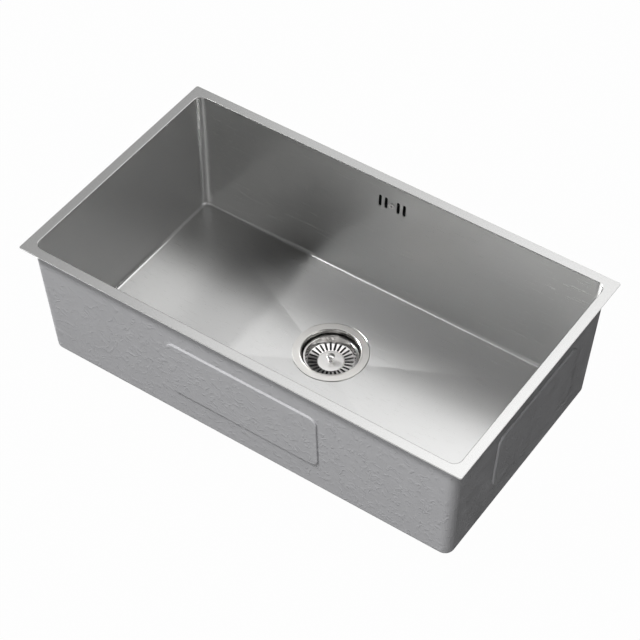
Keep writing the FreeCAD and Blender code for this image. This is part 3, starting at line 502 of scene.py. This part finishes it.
# %% [markdown]
# ## Plastic
# Moulded plastic carries a fine grain. The outlet of the waste has a pipe thread, which the solid
# leaves plain, so the finish draws it: the height is a tooth that climbs by one pitch with each turn
# round the axis. A mask keeps the tooth on the outlet.

# %% Moulded plastic with a thread on the outlet
PLASTIC_DARK = (0.74, 0.74, 0.72, 1.0)
PLASTIC_LIGHT = (0.80, 0.80, 0.78, 1.0)
PLASTIC_GRAIN = 900.0
PLASTIC_ROUGH = (0.38, 0.5)
PLASTIC_RELIEF = (0.08, 0.0004)
THREAD_PITCH = 0.0023
THREAD_LENGTH = 0.021
THREAD_RADIUS = 0.0234
THREAD_DEPTH = 0.002

plastic_finish, tree, shader, place = new_finish("plastic_finish")
grain = use(tree, stipple, {"Vector": place, "Scale": PLASTIC_GRAIN})
axis = use(tree, round_waste, {"Vector": place})
pitches = calc(tree, "DIVIDE", axis["Height"], THREAD_PITCH)
tooth = calc(tree, "PINGPONG", calc(tree, "ADD", pitches, axis["Turn"]), 0.5)
thread_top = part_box("waste_body")[0][2] + THREAD_LENGTH
low_enough = calc(tree, "LESS_THAN", axis["Height"], thread_top)
outside = calc(tree, "GREATER_THAN", axis["Radius"], THREAD_RADIUS)
thread = calc(tree, "MULTIPLY", tooth, calc(tree, "MULTIPLY", low_enough, outside))
moulded = relief(tree, grain["Height"], *PLASTIC_RELIEF)
threaded = {"Height": thread, "Strength": 1.0, "Distance": THREAD_DEPTH, "Normal": moulded}
fill(tree, shader, {
    "Base Color": blend(tree, vary(tree, grain["Mottle"], 0, 1), PLASTIC_DARK, PLASTIC_LIGHT),
    "Roughness": vary(tree, grain["Mottle"], *PLASTIC_ROUGH),
    "Normal": add(tree, "ShaderNodeBump", threaded)[0],
})
print("finish:", plastic_finish.name, "thread up to", round(thread_top, 4))

# %% [markdown]
# ## Rubber and brass
# The seals are black rubber with a matt, powdery face. The overflow's housing shares that near-black
# finish, which paints the shade seen through its slots. The threaded inserts are turned brass.

# %% Rubber and brass
RUBBER_DARK = grey(0.018)
RUBBER_LIGHT = grey(0.05)
RUBBER_GRAIN = 1400.0
RUBBER_ROUGH = (0.55, 0.75)
RUBBER_RELIEF = (0.15, 0.0003)
BRASS_DARK = (0.62, 0.45, 0.18, 1.0)
BRASS_LIGHT = (0.76, 0.60, 0.30, 1.0)
BRASS_LINES = {"Along": 60.0, "Across": 2400.0}
BRASS_ROUGH = (0.2, 0.34)

rubber_and_shade_finish, tree, shader, place = new_finish("rubber_and_shade_finish")
grain = use(tree, stipple, {"Vector": place, "Scale": RUBBER_GRAIN})
fill(tree, shader, {
    "Base Color": blend(tree, grain["Mottle"], RUBBER_DARK, RUBBER_LIGHT),
    "Roughness": vary(tree, grain["Mottle"], *RUBBER_ROUGH),
    "Normal": relief(tree, grain["Height"], *RUBBER_RELIEF),
})

brass_finish, tree, shader, place = new_finish("brass_finish")
lines = use(tree, brushed_lines, {"Vector": place, **BRASS_LINES})
fill(tree, shader, {
    "Base Color": blend(tree, lines["Smudge"], BRASS_DARK, BRASS_LIGHT),
    "Metallic": 1.0,
    "Roughness": vary(tree, lines["Height"], *BRASS_ROUGH),
})
print("finishes:", rubber_and_shade_finish.name, brass_finish.name)

# %% [markdown]
# ## Dress the solids
# The record names a material slot for each solid, and each slot has its finish. The knob is turned
# and polished all over, so it has its own.

# %% Give each solid its finish
FINISHES = {
    "bowl_steel": bowl_finish,
    "undercoat": coat_finish,
    "sound_pad": coat_finish,
    "waste_steel": waste_finish,
    "basket_steel": basket_finish,
    "waste_plastic": plastic_finish,
    # painted shade: the overflow housing is made rubber-black so that its slots look dark
    "overflow_plastic": rubber_and_shade_finish,
    "seal_rubber": rubber_and_shade_finish,
    "insert_brass": brass_finish,
}
for part in frame["record"]["subparts"]:
    nodes[part["node"]].material_slots[0].material = FINISHES[part["material_slot"]]
nodes["basket_knob"].material_slots[0].material = knob_finish
print("dressed:", len(nodes), "solids")
